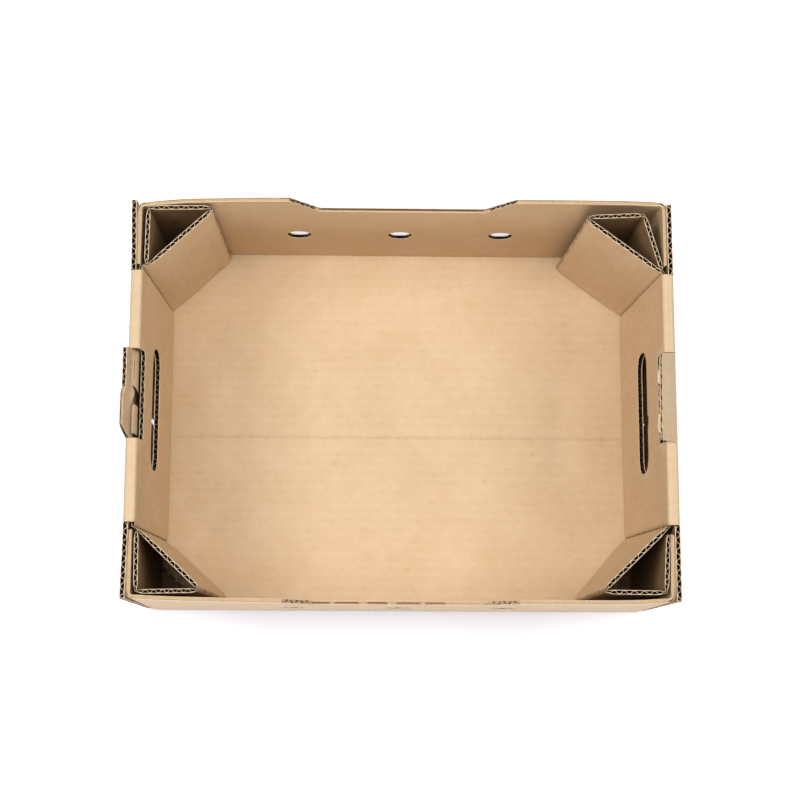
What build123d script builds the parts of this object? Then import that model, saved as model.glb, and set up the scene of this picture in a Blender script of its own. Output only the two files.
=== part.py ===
# Stackable tray box folded from one die-cut blank of single-wall corrugated board.
# Millimetres. X runs along the tray, Y across it, Z up. Origin: middle of the base's underside.
import os
from math import cos, radians, sin

from build123d import *

# Board: C flute, one liner each side of the fluting medium
board = 3.8  # thickness
ply_gap = 0.4  # air left between plies that lie on each other
fold_round = 3.5  # outside radius where a panel folds up from the base
corner_round = 4.0  # outside radius where a long wall folds into its end flap
pinch_round = 2.0  # outside radius of the post folds, which pinch the board
flute_pitch = 7.8  # from one crest of the fluting medium to the next
liner = 0.5  # thickness of each liner
medium = 0.7  # thickness of the fluting medium, measured along the board
hollow_depth = 5.0  # how far the flutes are left open behind a cut edge
hollow_margin = 5.0  # no open flutes this near a fold or corner, where the board is pinched

# Overall size of the folded tray
length = 400.0  # over the outer end panels
width = 297.0  # over the long walls at their feet and corners
wall_bow = 1.5  # how far the middle of a long wall's top edge leans out
foot_bow = 0.03  # the same at its foot
end_height = 155.0  # top of the rolled-over end rim
wall_drop = 3.0  # top of the long walls below the rim
end_inset = 1.5  # sides of the outer end panels, in from the long walls' outer faces

# End walls: outer panel, rolled-over rim strip, inner panel with a post on each side
rim_gap = 1.0  # air between the outer and inner panel at the rim
rim_inset = 56.0  # sides of the rim strip and inner panel, in from the long walls' outer faces
rim_round = 2.4  # outside radius of the rim's two folds
shoulder_drop = 2.0  # raw top edge of the outer panel beside the rim, below the rim
inner_lean = 6.9  # how much further in the inner panel stands at its foot
flap_length = 51.0  # end flaps of the long walls, from the outside of the corner

# Corner posts: triangular tubes folded from the inner panel's side extensions
post_drop = 5.0  # top of the posts below the rim
post_leg = 46.0  # outside, tip to heel along the long wall
post_free_gap = 10.0  # from the inner panel's side crease to the post's free raw edge
# Where each post stands: its gap to the long wall at the tip and at the heel,
# its gap to the end flap at the heel and at the free edge, and its tip's lean at the foot
post_stance = {
    (-1, 1): dict(tip=2.6, heel=2.4, side=2.2, free=1.2, lean=2.5),
    (1, 1): dict(tip=7.6, heel=4.2, side=9.5, free=0.8, lean=5.5),
    (-1, -1): dict(tip=2.2, heel=1.4, side=0.8, free=0.6, lean=0.8),
    (1, -1): dict(tip=2.0, heel=2.2, side=0.8, free=0.6, lean=0.4),
}

# Dips in the long walls' top edges
dip_top = 170.0
dip_floor = 124.0
dip_depth = 24.5
dip_round = 14.0

# Vent holes in the long walls
vent_diameter = 19.0
vent_height = 65.0
vent_spacing = 80.0
vent_count = 3

# Hand slots through both plies of the end walls
slot_length = 94.0
slot_height = 32.0
slot_round = 13.0
slot_centre = 80.0  # height of the slot's middle

# Stacking tabs that stand up from the outer end panels, and the notches that receive them
tab_length = 66.0
tab_height = 19.0  # above its root crease
tab_offset = 1.0  # tabs sit this far off the middle, towards +Y
tab_root_drop = 2.0  # root crease below the rim's top
tab_leans = {-1: (1.0, 8.0), 1: (-42.0, -42.0)}  # outward lean at the +Y and -Y side, degrees
tab_recess = 10.5  # depth of the cut that the tab left in the inner panel
tab_clearance = 3.0  # a receiving notch is longer than a tab by this at each side
notch_height = 20.0
notch_inset = 10.0  # how far the notch reaches into the base
relief_width = 7.0  # round-topped cut that runs up from the notch's middle
relief_height = 42.0

# Score line left by the flat blank's middle fold
score_offset = -8.0
score_width = 3.0
score_depth = 0.5

# Places worked out from the sizes above
wall_height = end_height - wall_drop
post_height = end_height - post_drop
end_width = width - 2 * end_inset
rim_length = width - 2 * rim_inset
half_length = length / 2
half_width = width / 2
outer_inside = half_length - board  # inner face of the outer end panel
flap_outside = outer_inside - ply_gap  # outer face of the end flaps
flap_inside = flap_outside - board
wall_inside = half_width - board  # inner face of a long wall
ply_foot = board + ply_gap  # foot of every panel that stands on the base
fold_end = flap_outside - corner_round  # where the base's long folds stop
rim_underside = end_height - board
inner_rim_face = outer_inside - rim_gap - board  # tray side of the inner panel at the rim


def inner_face(z):
    """X of the inner end panel's tray side at height z."""
    return inner_rim_face - inner_lean * (rim_underside - z) / (rim_underside - ply_foot)


def ribbon_sides(path, thickness):
    """Left and right outline points of a ribbon of board whose middle follows path."""
    steps = [(b - a).normalized() for a, b in zip(path, path[1:])]
    normals = [Vector(-d.Y, d.X) for d in steps]
    left, right = [], []
    for i, point in enumerate(path):
        before = normals[max(i - 1, 0)]
        after = normals[min(i, len(normals) - 1)]
        mitre = (before + after) * (thickness / 2 / (1 + before.dot(after)))
        left.append(point + mitre)
        right.append(point - mitre)
    return left, right


def ribbon(path, z, outside_radius):
    """Cross-section at height z of a folded ribbon of board, rounded outside its folds."""
    left, right = ribbon_sides(path, board)
    folds = []
    for i in range(1, len(path) - 1):
        before, after = path[i] - path[i - 1], path[i + 1] - path[i]
        turns_left = before.X * after.Y - before.Y * after.X > 0
        folds.append(right[i] if turns_left else left[i])
    with BuildSketch(Plane.XY.offset(z)) as section:
        with BuildLine():
            Polyline(*left, *reversed(right), close=True)
        make_face()
        corners = section.vertices()
        outside = [corners.sort_by_distance(p)[0] for p in folds]
        fillet(outside, outside_radius)
    return section.sketch


def post_path(end, side, z):
    """Middle line of one post at height z, from the inner panel's side crease to its free edge."""
    stance = post_stance[end, side]
    share = (post_height - z) / (post_height - ply_foot)  # 0 at the top, 1 at the foot
    heel_x = flap_inside - stance["side"] - board / 2
    crease = Vector(inner_face(z) + board / 2, rim_length / 2)
    tip = Vector(
        heel_x - post_leg + board - stance["lean"] * share,
        wall_inside - stance["tip"] - board / 2,
    )
    heel = Vector(heel_x, wall_inside - stance["heel"] - board / 2)
    free = Vector(flap_inside - stance["free"] - board / 2, rim_length / 2 + post_free_gap)
    return [Vector(p.X * end, p.Y * side) for p in (crease, tip, heel, free)]


def open_flutes(start, end, into, into_at_end=None, margin=0.0):
    """Hollows between the liners and the fluting medium, along a cut edge from start to end.

    The edge's middle line runs from start to end. The flutes run along into, away from the cut,
    and turn to into_at_end along a twisted edge. None opens within margin of the edge's ends.
    """
    into_at_end = into_at_end or into
    run = end - start
    across_flutes = (run - into * run.dot(into)).normalized()
    length_across = run.dot(across_flutes)
    half_pitch = flute_pitch / 2
    count = int((length_across - 2 * margin) / half_pitch)
    first = (length_across - (count - 1) * half_pitch) / 2
    foot, point = half_pitch - medium / 2, board / 2 - liner
    hollows = []
    for k in range(count):
        share = (first + k * half_pitch) / length_across
        flute = into * (1 - share) + into_at_end * share
        apex = point if k % 2 else -point
        with BuildSketch(Plane(start + run * share, x_dir=across_flutes, z_dir=flute)) as hollow:
            Polygon((-foot, -apex), (foot, -apex), (0, apex), align=None)
        hollows.append(extrude(hollow.sketch, amount=hollow_depth, both=True, mode=Mode.PRIVATE))
    return hollows


def wall_section(side, z, bow):
    """Cross-section at height z of a long wall with its two end flaps, bowed out by bow."""
    flap_end = (half_width - flap_length) * side
    outer_y, inner_y = half_width * side, wall_inside * side
    with BuildSketch(Plane.XY.offset(z)) as section:
        with BuildLine():
            Line((-flap_outside, flap_end), (-flap_outside, outer_y))
            ThreePointArc((-flap_outside, outer_y), (0, outer_y + bow * side), (flap_outside, outer_y))
            Line((flap_outside, outer_y), (flap_outside, flap_end))
            Line((flap_outside, flap_end), (flap_inside, flap_end))
            Line((flap_inside, flap_end), (flap_inside, inner_y))
            ThreePointArc((flap_inside, inner_y), (0, inner_y + bow * side), (-flap_inside, inner_y))
            Line((-flap_inside, inner_y), (-flap_inside, flap_end))
            Line((-flap_inside, flap_end), (-flap_outside, flap_end))
        make_face()
        corners = section.vertices()
        outside = [corners.sort_by_distance(Vector(x, outer_y))[0] for x in (-flap_outside, flap_outside)]
        fillet(outside, corner_round)
    return section.sketch


# Base, with the two long folds where the walls turn up
with BuildPart() as base:
    with BuildSketch(Plane.YZ) as base_profile:
        with BuildLine():
            Polyline(
                (-half_width, ply_foot),
                (-half_width, 0),
                (half_width, 0),
                (half_width, ply_foot),
                (wall_inside, ply_foot),
                (wall_inside, board),
                (-wall_inside, board),
                (-wall_inside, ply_foot),
                close=True,
            )
        make_face()
        fillet(base_profile.vertices().group_by(Axis.Y)[0], fold_round)
    extrude(amount=fold_end, both=True)
    with BuildSketch(Plane.YZ) as score_profile:
        with Locations((score_offset, board)):
            Rectangle(score_width, 2 * score_depth)
    extrude(amount=inner_face(ply_foot), both=True, mode=Mode.SUBTRACT)

# Long walls with their end flaps
with BuildPart() as long_walls:
    for side in (-1, 1):
        foot_section = wall_section(side, ply_foot, foot_bow)
        top_section = wall_section(side, wall_height, wall_bow)
        loft([foot_section, top_section], ruled=True)

# Outer end panels, folded up from the base
with BuildPart() as outer_ends:
    with BuildSketch(Plane.XZ) as outer_profile:
        with BuildLine():
            Polyline(
                (fold_end, 0),
                (half_length, 0),
                (half_length, end_height - shoulder_drop),
                (outer_inside, end_height - shoulder_drop),
                (outer_inside, board),
                (fold_end, board),
                close=True,
            )
        make_face()
        outer_corner = outer_profile.vertices().sort_by_distance(Vector(half_length, 0, 0))[0]
        fillet(outer_corner, fold_round)
    extrude(amount=end_width / 2, both=True)
    mirror(about=Plane.YZ)

# Rims: the strip rolled over the top of each end, with the head of the inner panel
with BuildPart() as rims:
    with BuildSketch(Plane.XZ) as rim_profile:
        with BuildLine():
            Polyline(
                (half_length, post_height),
                (half_length, end_height),
                (inner_rim_face, end_height),
                (inner_rim_face, rim_underside),
                (inner_face(post_height), post_height),
                (inner_face(post_height) + board, post_height),
                (inner_rim_face + board, rim_underside),
                (outer_inside, rim_underside),
                (outer_inside, post_height),
                close=True,
            )
        make_face()
        fillet(rim_profile.vertices().group_by(Axis.Y)[-1], rim_round)
    extrude(amount=rim_length / 2, both=True)
    mirror(about=Plane.YZ)

# Inner end panels, each one ribbon with the two corner posts that it folds into
with BuildPart() as inner_ends:
    for end in (-1, 1):
        sections = []
        for z in (ply_foot, post_height):
            front, back = post_path(end, -1, z), post_path(end, 1, z)
            sections.append(ribbon([*reversed(front), *back], z, pinch_round))
        loft(sections, ruled=True)

# Stacking tabs, each bent at its root as it was left
with BuildPart() as tabs:
    for end in (-1, 1):
        edge_sections = []
        for side, lean in zip((1, -1), tab_leans[end]):
            root = end_height - tab_root_drop
            middle = half_length - board / 2
            tip = Vector(middle + tab_height * sin(radians(lean)), root + tab_height * cos(radians(lean)))
            path = [Vector(middle, post_height), Vector(middle, root), tip]
            left, right = ribbon_sides(path, board)
            y = tab_offset + side * tab_length / 2
            with BuildSketch(Plane.XZ.offset(-y)) as tab_edge:
                with BuildLine():
                    Polyline(*[(p.X * end, p.Y) for p in (*left, *reversed(right))], close=True)
                make_face()
            edge_sections.append(tab_edge.sketch)
        loft(edge_sections, ruled=True)

def across(x, ends, z):
    """Start and end of a cut edge that runs across the tray at x and z."""
    return Vector(x, ends[0], z), Vector(x, ends[1], z)


# Open flutes of the cut edges that run across the fluting
down, up = Vector(0, 0, -1), Vector(0, 0, 1)
slot_flat = [tab_offset + side * (slot_length / 2 - slot_round) for side in (-1, 1)]
tab_sides = [tab_offset + side * tab_length / 2 for side in (-1, 1)]
notch_sides = [tab_offset + side * (tab_length / 2 + tab_clearance) for side in (-1, 1)]
inner_down = Vector(inner_face(0) - inner_face(1), 0, -1).normalized()  # down the inner panel at +X
hollows = []
for end in (-1, 1):
    outer_x = end * (half_length - board / 2)
    down_inner = Vector(end * inner_down.X, 0, inner_down.Z)

    # Outer panel's shoulders beside the rim
    for side in (-1, 1):
        shoulder = (side * rim_length / 2, side * end_width / 2)
        hollows += open_flutes(*across(outer_x, shoulder, end_height - shoulder_drop), down)

    # Receiving notch, in the outer panel and in the base
    notch_x = end * (half_length - notch_inset)
    hollows += open_flutes(*across(outer_x, notch_sides, notch_height), up)
    hollows += open_flutes(*across(notch_x, notch_sides, board / 2), Vector(-end, 0, 0))

    # Inner panel where the tab was cut from it
    z = rim_underside - tab_recess
    hollows += open_flutes(*across(end * (inner_face(z) + board / 2), tab_sides, z), down_inner)

    # Lower and upper cut of the hand slot, through both panels
    for way in (-1, 1):
        z = slot_centre + way * slot_height / 2
        hollows += open_flutes(*across(outer_x, slot_flat, z), up * way)
        hollows += open_flutes(*across(end * (inner_face(z) + board / 2), slot_flat, z), down_inner * -way)

    # Tops of the posts
    for side in (-1, 1):
        corners = [Vector(p.X, p.Y, post_height) for p in post_path(end, side, post_height)]
        for a, b in zip(corners, corners[1:]):
            hollows += open_flutes(a, b, down, margin=hollow_margin)

    # Top of the stacking tab
    tops = []
    for y, lean in zip(reversed(tab_sides), tab_leans[end]):
        rise = Vector(end * sin(radians(lean)), 0, cos(radians(lean)))
        tops.append((Vector(outer_x, y, end_height - tab_root_drop) + rise * tab_height, rise * -1))
    (first_top, first_into), (last_top, last_into) = tops
    hollows += open_flutes(first_top, last_top, first_into, last_into)

# Open flutes where the long walls' dips cut down across them
for side in (-1, 1):
    y = side * (half_width - board / 2)
    for way in (-1, 1):
        low = Vector(way * dip_floor / 2, y, wall_height - dip_depth)
        high = Vector(way * dip_top / 2, y, wall_height)
        hollows += open_flutes(low, high, Vector(way, 0, 0))

# The whole tray: one sheet, so every panel joins its neighbours at the folds
with BuildPart() as tray:
    add(base.part)
    add(long_walls.part)
    add(outer_ends.part)
    add(inner_ends.part)
    add(rims.part)

    # Openings that the tabs were cut from, through the rim and the inner panel's head
    recess_floor = rim_underside - tab_recess
    for end in (-1, 1):
        with BuildSketch(Plane.XY.offset(recess_floor)):
            with Locations((end * (inner_rim_face - board + outer_inside) / 2, tab_offset)):
                Rectangle(outer_inside - inner_rim_face + board, tab_length)
        extrude(amount=end_height, mode=Mode.SUBTRACT)
        with BuildSketch(Plane.XY.offset(post_height)):
            with Locations((end * (half_length + outer_inside) / 2, tab_offset)):
                Rectangle(3 * board, tab_length)
        extrude(amount=end_height, mode=Mode.SUBTRACT)
    add(tabs.part)

    # Notches across the end folds that take the tabs of the tray below
    for end in (-1, 1):
        with BuildSketch(Plane.XY.offset(-board)):
            with Locations((end * half_length, tab_offset)):
                Rectangle(2 * notch_inset, tab_length + 2 * tab_clearance)
        extrude(amount=notch_height + board, mode=Mode.SUBTRACT)
        with BuildSketch(Plane.YZ.offset(end * half_length)):
            with Locations((0, relief_height / 2)):
                SlotOverall(relief_height, relief_width, rotation=90)
        extrude(amount=board, both=True, mode=Mode.SUBTRACT)

    # Hand slots
    with BuildSketch(Plane.YZ):
        with Locations((tab_offset, slot_centre)):
            RectangleRounded(slot_length, slot_height, slot_round)
    extrude(amount=length, both=True, mode=Mode.SUBTRACT)

    # Dips in the long walls
    with BuildSketch(Plane.XZ) as dip:
        with BuildLine():
            Polyline(
                (-dip_top, wall_height + dip_depth),
                (-dip_top, wall_height),
                (-dip_top / 2, wall_height),
                (-dip_floor / 2, wall_height - dip_depth),
                (dip_floor / 2, wall_height - dip_depth),
                (dip_top / 2, wall_height),
                (dip_top, wall_height),
                (dip_top, wall_height + dip_depth),
                close=True,
            )
        make_face()
        bends = [v for v in dip.vertices() if abs(v.X) < (dip_top + dip_floor) / 2]
        fillet(bends, dip_round)
    extrude(amount=width, both=True, mode=Mode.SUBTRACT)

    # Vent holes
    with BuildSketch(Plane.XZ):
        with GridLocations(vent_spacing, 1, vent_count, 1):
            with Locations((0, vent_height)):
                Circle(vent_diameter / 2)
    extrude(amount=width, both=True, mode=Mode.SUBTRACT)

    # Open flutes along the cut edges
    add(hollows, mode=Mode.SUBTRACT)

tray.part.label = "tray"

os.makedirs("parts", exist_ok=True)
export_step(tray.part, "parts/tray.step")
print(f"tray: {len(tray.solids())} solid, {tray.part.volume / 1000:.0f} cm3, faces {len(tray.faces())}")
print("box", tray.part.bounding_box())
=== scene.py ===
# %% [markdown]
# # A stackable tray box, folded from one sheet of corrugated board
#
# The real tray is one die-cut blank of single-wall board: a wavy sheet of paper, the fluting,
# glued between two flat ones, the liners. The blank is scored, folded and locked with no glue.
# What makes it look real is at its cut edges, where the flutes show as a row of dark hollows
# between two thin lines of paper. So this scene doesn't model a thick slab. It does what the
# factory does: it cuts flat liners, folds them, and puts real fluting between them.

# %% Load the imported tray
import math

import bmesh
import bpy
import numpy as np
from mathutils import Matrix, Vector
from mathutils.geometry import delaunay_2d_cdt


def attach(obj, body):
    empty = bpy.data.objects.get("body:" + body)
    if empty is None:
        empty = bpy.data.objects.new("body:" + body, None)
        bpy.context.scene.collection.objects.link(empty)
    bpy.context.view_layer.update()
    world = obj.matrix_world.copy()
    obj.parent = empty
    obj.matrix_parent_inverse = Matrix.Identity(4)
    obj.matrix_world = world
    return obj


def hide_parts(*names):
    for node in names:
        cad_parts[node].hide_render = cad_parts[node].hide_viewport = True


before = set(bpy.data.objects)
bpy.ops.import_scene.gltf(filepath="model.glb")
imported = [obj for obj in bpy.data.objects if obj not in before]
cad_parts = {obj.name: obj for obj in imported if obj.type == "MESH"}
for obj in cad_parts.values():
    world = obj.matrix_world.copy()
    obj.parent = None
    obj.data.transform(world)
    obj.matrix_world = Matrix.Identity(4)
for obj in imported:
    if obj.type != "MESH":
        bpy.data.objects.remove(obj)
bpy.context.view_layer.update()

# %% [markdown]
# ## Sizes
#
# Everything is worked out in millimetres and turned to metres when a mesh is made. X runs along
# the tray, Y across it and Z up, and the base stands on Z = 0, as in the solid model. `end` is
# -1 at the left end and 1 at the right one. `side` is -1 at the front wall and 1 at the back.

# %% Sizes in millimetres
MM = 0.001

BOARD = 3.8  # C flute board
HALF = BOARD / 2
INNER_HALF = 1.22  # handling has pressed the board: from its middle line to its inner face
LINER = 0.45  # each liner, a little over its real 0.3 so that a cut edge shows
MEDIUM = 0.33  # the fluting paper, with the fuzz of its cut edge
PITCH = 7.8  # crest to crest
OPEN_DEPTH = 9.0  # how far behind a cut edge the fluting is modelled

LENGTH, WIDTH, END_HEIGHT = 400.0, 297.0, 155.0
FOOT = BOARD + 0.4  # where panels start above the base, with a little air under them
WALL_HEIGHT = END_HEIGHT - 3
POST_HEIGHT = END_HEIGHT - 5
SHOULDER = END_HEIGHT - 2  # raw top of an outer end panel beside its rim
OUTER_X = LENGTH / 2 - HALF  # middle of the board of an outer end panel
WALL_Y = WIDTH / 2 - HALF  # the same of a long wall
FLAP_X = LENGTH / 2 - 5.6  # the same of an end flap at its foot
INNER_RIM_X = LENGTH / 2 - 1.5 * BOARD - 1  # the same of an inner end panel at the rim
INNER_LEAN = 6.9  # how much further in the inner panel stands at its foot
END_HALF_WIDTH = WIDTH / 2 - 1.5
RIM_HALF = WIDTH / 2 - 56  # half the length of a rim
FOLD_END = LENGTH / 2 - 8.2  # where the base's long folds stop

OFF_MIDDLE = 1.0  # tabs, slots and notches sit this far off the middle, towards the back
TAB_Y = (OFF_MIDDLE - 33, OFF_MIDDLE + 33)
TAB_ROOT = END_HEIGHT - 2
TAB_HEIGHT = 19.0
TAB_CUT = END_HEIGHT - BOARD - 10.5  # floor of the cut that a tab left in the inner panel
SLOT_Y, SLOT_Z = OFF_MIDDLE, 80.0
SLOT_HALF, SLOT_RISE, SLOT_ROUND = 47.0, 16.0, 13.0  # half length, half height, rounding
NOTCH_Y = (TAB_Y[0] - 3, TAB_Y[1] + 3)
NOTCH_TOP, NOTCH_X = 20.0, LENGTH / 2 - 10
RELIEF_HALF, RELIEF_TOP = 2.2, 39.2  # the narrow cut that runs up from a notch
VENTS, VENT_Z, VENT_R = (-80.0, 0.0, 80.0), 65.0, 9.5

print(f"folded tray: {LENGTH:.0f} by {WIDTH:.0f} by {END_HEIGHT:.0f} mm, board {BOARD} mm thick")

# %% [markdown]
# ## Folding
#
# A fold in board is a tight bend in which the outer liner stretches round and the fluting is
# crushed. A bevel on a box would round both faces alike and lose the plies. So `fold_path` walks
# along a panel's middle line and gives, at each station, the distance walked, the place, the
# outward direction and how much of the thickness is left. Two such paths, one at the foot and
# one at the top, make a panel that leans or twists.

# %% Fold paths
NEAR_FOLD = np.array([0.0, 1.0, 2.2, 3.8, 6.0])  # stations are closer together beside a fold
TURN_STEPS = 8  # steps round a fold
EASE = 2.4  # a fold's crushing dies away over about this distance


def unit(v):
    return v / np.linalg.norm(v)


def swell(x, middle, width):
    """1 at the middle, and a bell that has fallen to nothing at about twice the width."""
    return np.exp(-(((x - middle) / width) ** 2))


def fold_path(corners, bends, left_is_out, end_half=(HALF, HALF), cells=8):
    """Stations along a folded middle line. bends holds (radius, half thickness) of each fold."""
    corners = [np.array(c, float) for c in corners]
    steps = [unit(b - a) for a, b in zip(corners, corners[1:])]
    turns = [math.acos(np.clip(a @ b, -1, 1)) for a, b in zip(steps, steps[1:])]
    tangents = [0.0, *(bend[0] * math.tan(turn / 2) for bend, turn in zip(bends, turns)), 0.0]
    half_at = [end_half[0], *(bend[1] for bend in bends), end_half[1]]
    places, normals, halves, walked, folds = [], [], [], [], []
    at = 0.0
    for i, step in enumerate(steps):
        left = np.array([-step[1], step[0]])
        normal = left if left_is_out else -left
        start = corners[i] + step * tangents[i]
        run = np.linalg.norm(corners[i + 1] - corners[i]) - tangents[i] - tangents[i + 1]
        near = NEAR_FOLD * min(1.0, 0.4 * run / NEAR_FOLD[-1])
        far = np.linspace(near[-1], run - near[-1], cells + 1)[1:-1]
        for d in np.concatenate([near, far, run - near[::-1]]):
            squash = (HALF - half_at[i]) * swell(d, 0.0, EASE)
            squash += (HALF - half_at[i + 1]) * swell(run - d, 0.0, EASE)
            places.append(start + step * d)
            normals.append(normal)
            halves.append(HALF - squash)
            walked.append(at + d)
        at += run
        if i == len(turns):
            break
        radius, half = bends[i]
        turn, after = turns[i], steps[i + 1]
        way = 1.0 if step[0] * after[1] - step[1] * after[0] > 0 else -1.0
        first = start + step * run
        folds.append(at + radius * turn / 2)
        for k in range(1, TURN_STEPS):
            a = turn * k / TURN_STEPS
            sin, cos = math.sin(a), math.cos(a)
            spin = np.array([[cos, -way * sin], [way * sin, cos]])
            places.append(first + radius * (sin * step + (1 - cos) * way * left))
            normals.append(spin @ normal)
            halves.append(half)
            walked.append(at + radius * a)
        at += radius * turn
    return {
        "walked": np.array(walked),
        "place": np.array(places),
        "out": np.array(normals),
        "half": np.array(halves),
        "folds": folds,
    }


bracket = fold_path([(0, 0), (50, 0), (50, 50)], [(3.5, HALF)], True)
print(f"two 50 mm legs with a fold of 3.5 mm radius unroll to {bracket['walked'][-1]:.1f} mm")

# %% [markdown]
# ## Places on a folded panel
#
# A point of a panel is known by two flat coordinates and by its depth in the board. The helpers
# here turn that into a place in the tray. `smooth` and `ripple` add what a straight computer
# line lacks: soft starts, and the small unevenness that dies, knives and hands leave.

# %% Places on a path
def pressed(offset):
    """Depth in the pressed board: its outer face stays and its inner face comes nearer."""
    return offset * (HALF + INNER_HALF) / BOARD + (HALF - INNER_HALF) / 2


def at_station(path, index, offset):
    """Points of a path at fractional station numbers, moved outward by offset."""
    steps = np.arange(len(path["walked"]))
    offset = pressed(offset)
    x, y, nx, ny = (np.interp(index, steps, path[key][:, i]) for key in ("place", "out") for i in (0, 1))
    share = np.interp(index, steps, path["half"]) / HALF
    return np.stack([x + nx * offset * share, y + ny * offset * share], 1)


def between(path, upper, low, high, walked, level, offset):
    """Points of a panel stretched between the path at low and the path at high."""
    index = np.interp(walked, path["walked"], np.arange(len(path["walked"])))
    share = ((level - low) / (high - low))[:, None]
    return at_station(path, index, offset) * (1 - share) + at_station(upper, index, offset) * share


def smooth(x, low, high):
    """0 below low, 1 above high, and a smooth step between."""
    k = np.clip((np.asarray(x, float) - low) / (high - low), 0, 1)
    return k * k * (3 - 2 * k)


def ripple(x, seed, size, scale):
    """A seeded, uneven line of three waves: up to about size high, the longest scale long."""
    x = np.asarray(x, float) / scale
    total = np.zeros_like(x)
    for k, (frequency, phase) in enumerate(((1.0, 1.7), (2.3, 4.1), (4.9, 2.9))):
        total += np.sin(frequency * x * 2 * math.pi + phase * (seed + 1.3) + k) / (k + 1)
    return total * size / 1.8


unevenness = np.ptp(ripple(np.arange(0, 100), 0.0, 0.3, 61.0))
print(f"a 0.3 mm ripple wanders over {unevenness:.2f} mm along a 100 mm edge")

# %% [markdown]
# ## Cutting
#
# A die cuts the whole blank at one stroke. Here a Delaunay triangulation does that job for
# each panel: it takes the outline, the holes and a set of lines along which the panel must be
# able to bend, and it returns triangles that respect all of them. It beats booleans on a
# finished box, because the panel is still flat, and every hole stays clean after folding.

# %% Cut a panel from flat board
def loop_inside(points, loop):
    """True for each point inside the closed loop, by counting crossings."""
    x, y = points[:, 0], points[:, 1]
    inside = np.zeros(len(points), bool)
    for (x0, y0), (x1, y1) in zip(loop, np.roll(loop, -1, 0)):
        crosses = (y0 > y) != (y1 > y)
        if y1 != y0:
            inside ^= crosses & (x < (x1 - x0) * (y - y0) / (y1 - y0) + x0)
    return inside


def cut_panel(outline, holes, first_lines, second_lines):
    """Flat points, triangles and border edges of a panel, split along lines of both coordinates."""
    outline, holes = np.array(outline, float), [np.array(h, float) for h in holes]
    points, edges = [], []
    for loop in [outline, *holes]:
        start = len(points)
        points += [Vector(p) for p in loop]
        edges += [(start + i, start + (i + 1) % len(loop)) for i in range(len(loop))]
    (low_a, low_b), (high_a, high_b) = outline.min(0), outline.max(0)
    for a in first_lines:
        if low_a < a < high_a:
            edges.append((len(points), len(points) + 1))
            points += [Vector((a, low_b)), Vector((a, high_b))]
    for b in second_lines:
        if low_b < b < high_b:
            edges.append((len(points), len(points) + 1))
            points += [Vector((low_a, b)), Vector((high_a, b))]
    verts, _, faces, *_ = delaunay_2d_cdt(points, edges, [], 0, 1e-4)
    flat = np.array([v[:] for v in verts])
    triangles = np.array(faces)
    middles = flat[triangles].mean(1)
    keep = loop_inside(middles, outline)
    for hole in holes:
        keep &= ~loop_inside(middles, hole)
    # Slivers with no area would only spoil the shading
    a, b, c = (flat[triangles[:, i]] for i in range(3))
    area = (b[:, 0] - a[:, 0]) * (c[:, 1] - a[:, 1]) - (b[:, 1] - a[:, 1]) * (c[:, 0] - a[:, 0])
    triangles = triangles[keep & (np.abs(area) > 1e-6)]
    used, triangles = np.unique(triangles, return_inverse=True)
    triangles = triangles.reshape(-1, 3)
    seen = {(t[i], t[(i + 1) % 3]) for t in triangles for i in range(3)}
    border = [(i, j) for i, j in seen if (j, i) not in seen]
    return flat[used], triangles, border


def rounded(corners, radii, steps=6):
    """A closed loop with some of its corners rounded."""
    corners = [np.array(c, float) for c in corners]
    loop = []
    for i, corner in enumerate(corners):
        radius = radii[i]
        if radius == 0:
            loop.append(corner)
            continue
        back, ahead = unit(corners[i - 1] - corner), unit(corners[(i + 1) % len(corners)] - corner)
        half = math.acos(np.clip(back @ ahead, -1, 1)) / 2
        middle = corner + unit(back + ahead) * radius / math.sin(half)
        first = corner + back * radius / math.tan(half) - middle
        last = corner + ahead * radius / math.tan(half) - middle
        sweep = math.atan2(first[0] * last[1] - first[1] * last[0], first @ last)
        for k in range(steps + 1):
            a = sweep * k / steps
            loop.append(middle + np.array([
                first[0] * math.cos(a) - first[1] * math.sin(a),
                first[0] * math.sin(a) + first[1] * math.cos(a),
            ]))
    return np.array(loop)


window = [(20, 20), (40, 20), (40, 40), (20, 40)]
_, window_triangles, window_border = cut_panel([(0, 0), (60, 0), (60, 60), (0, 60)], [window], [30], [30])
print(f"a square with a window: {len(window_triangles)} triangles, {len(window_border)} border edges")

# %% [markdown]
# ## Gathering a piece
#
# Each piece is a stack of papers, and `Paper` gathers their faces before they become one mesh.
# Joining many objects would do as well, but one list of points is quicker to make. It keeps the
# flat coordinates too: as a UV map they let every pattern run with the flutes, as on real board.

# %% Gather the faces of a piece
# The inside liner finish is the kraft liner painted darker, as painted shade in gaps and posts
KRAFT, CUT, SHADED_FLUTE, FLANK, SHADED_INSIDE_LINER = range(5)  # numbers of the finishes below
SHARP_ANGLE = 38  # degrees, past which an edge is shaded sharp


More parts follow.
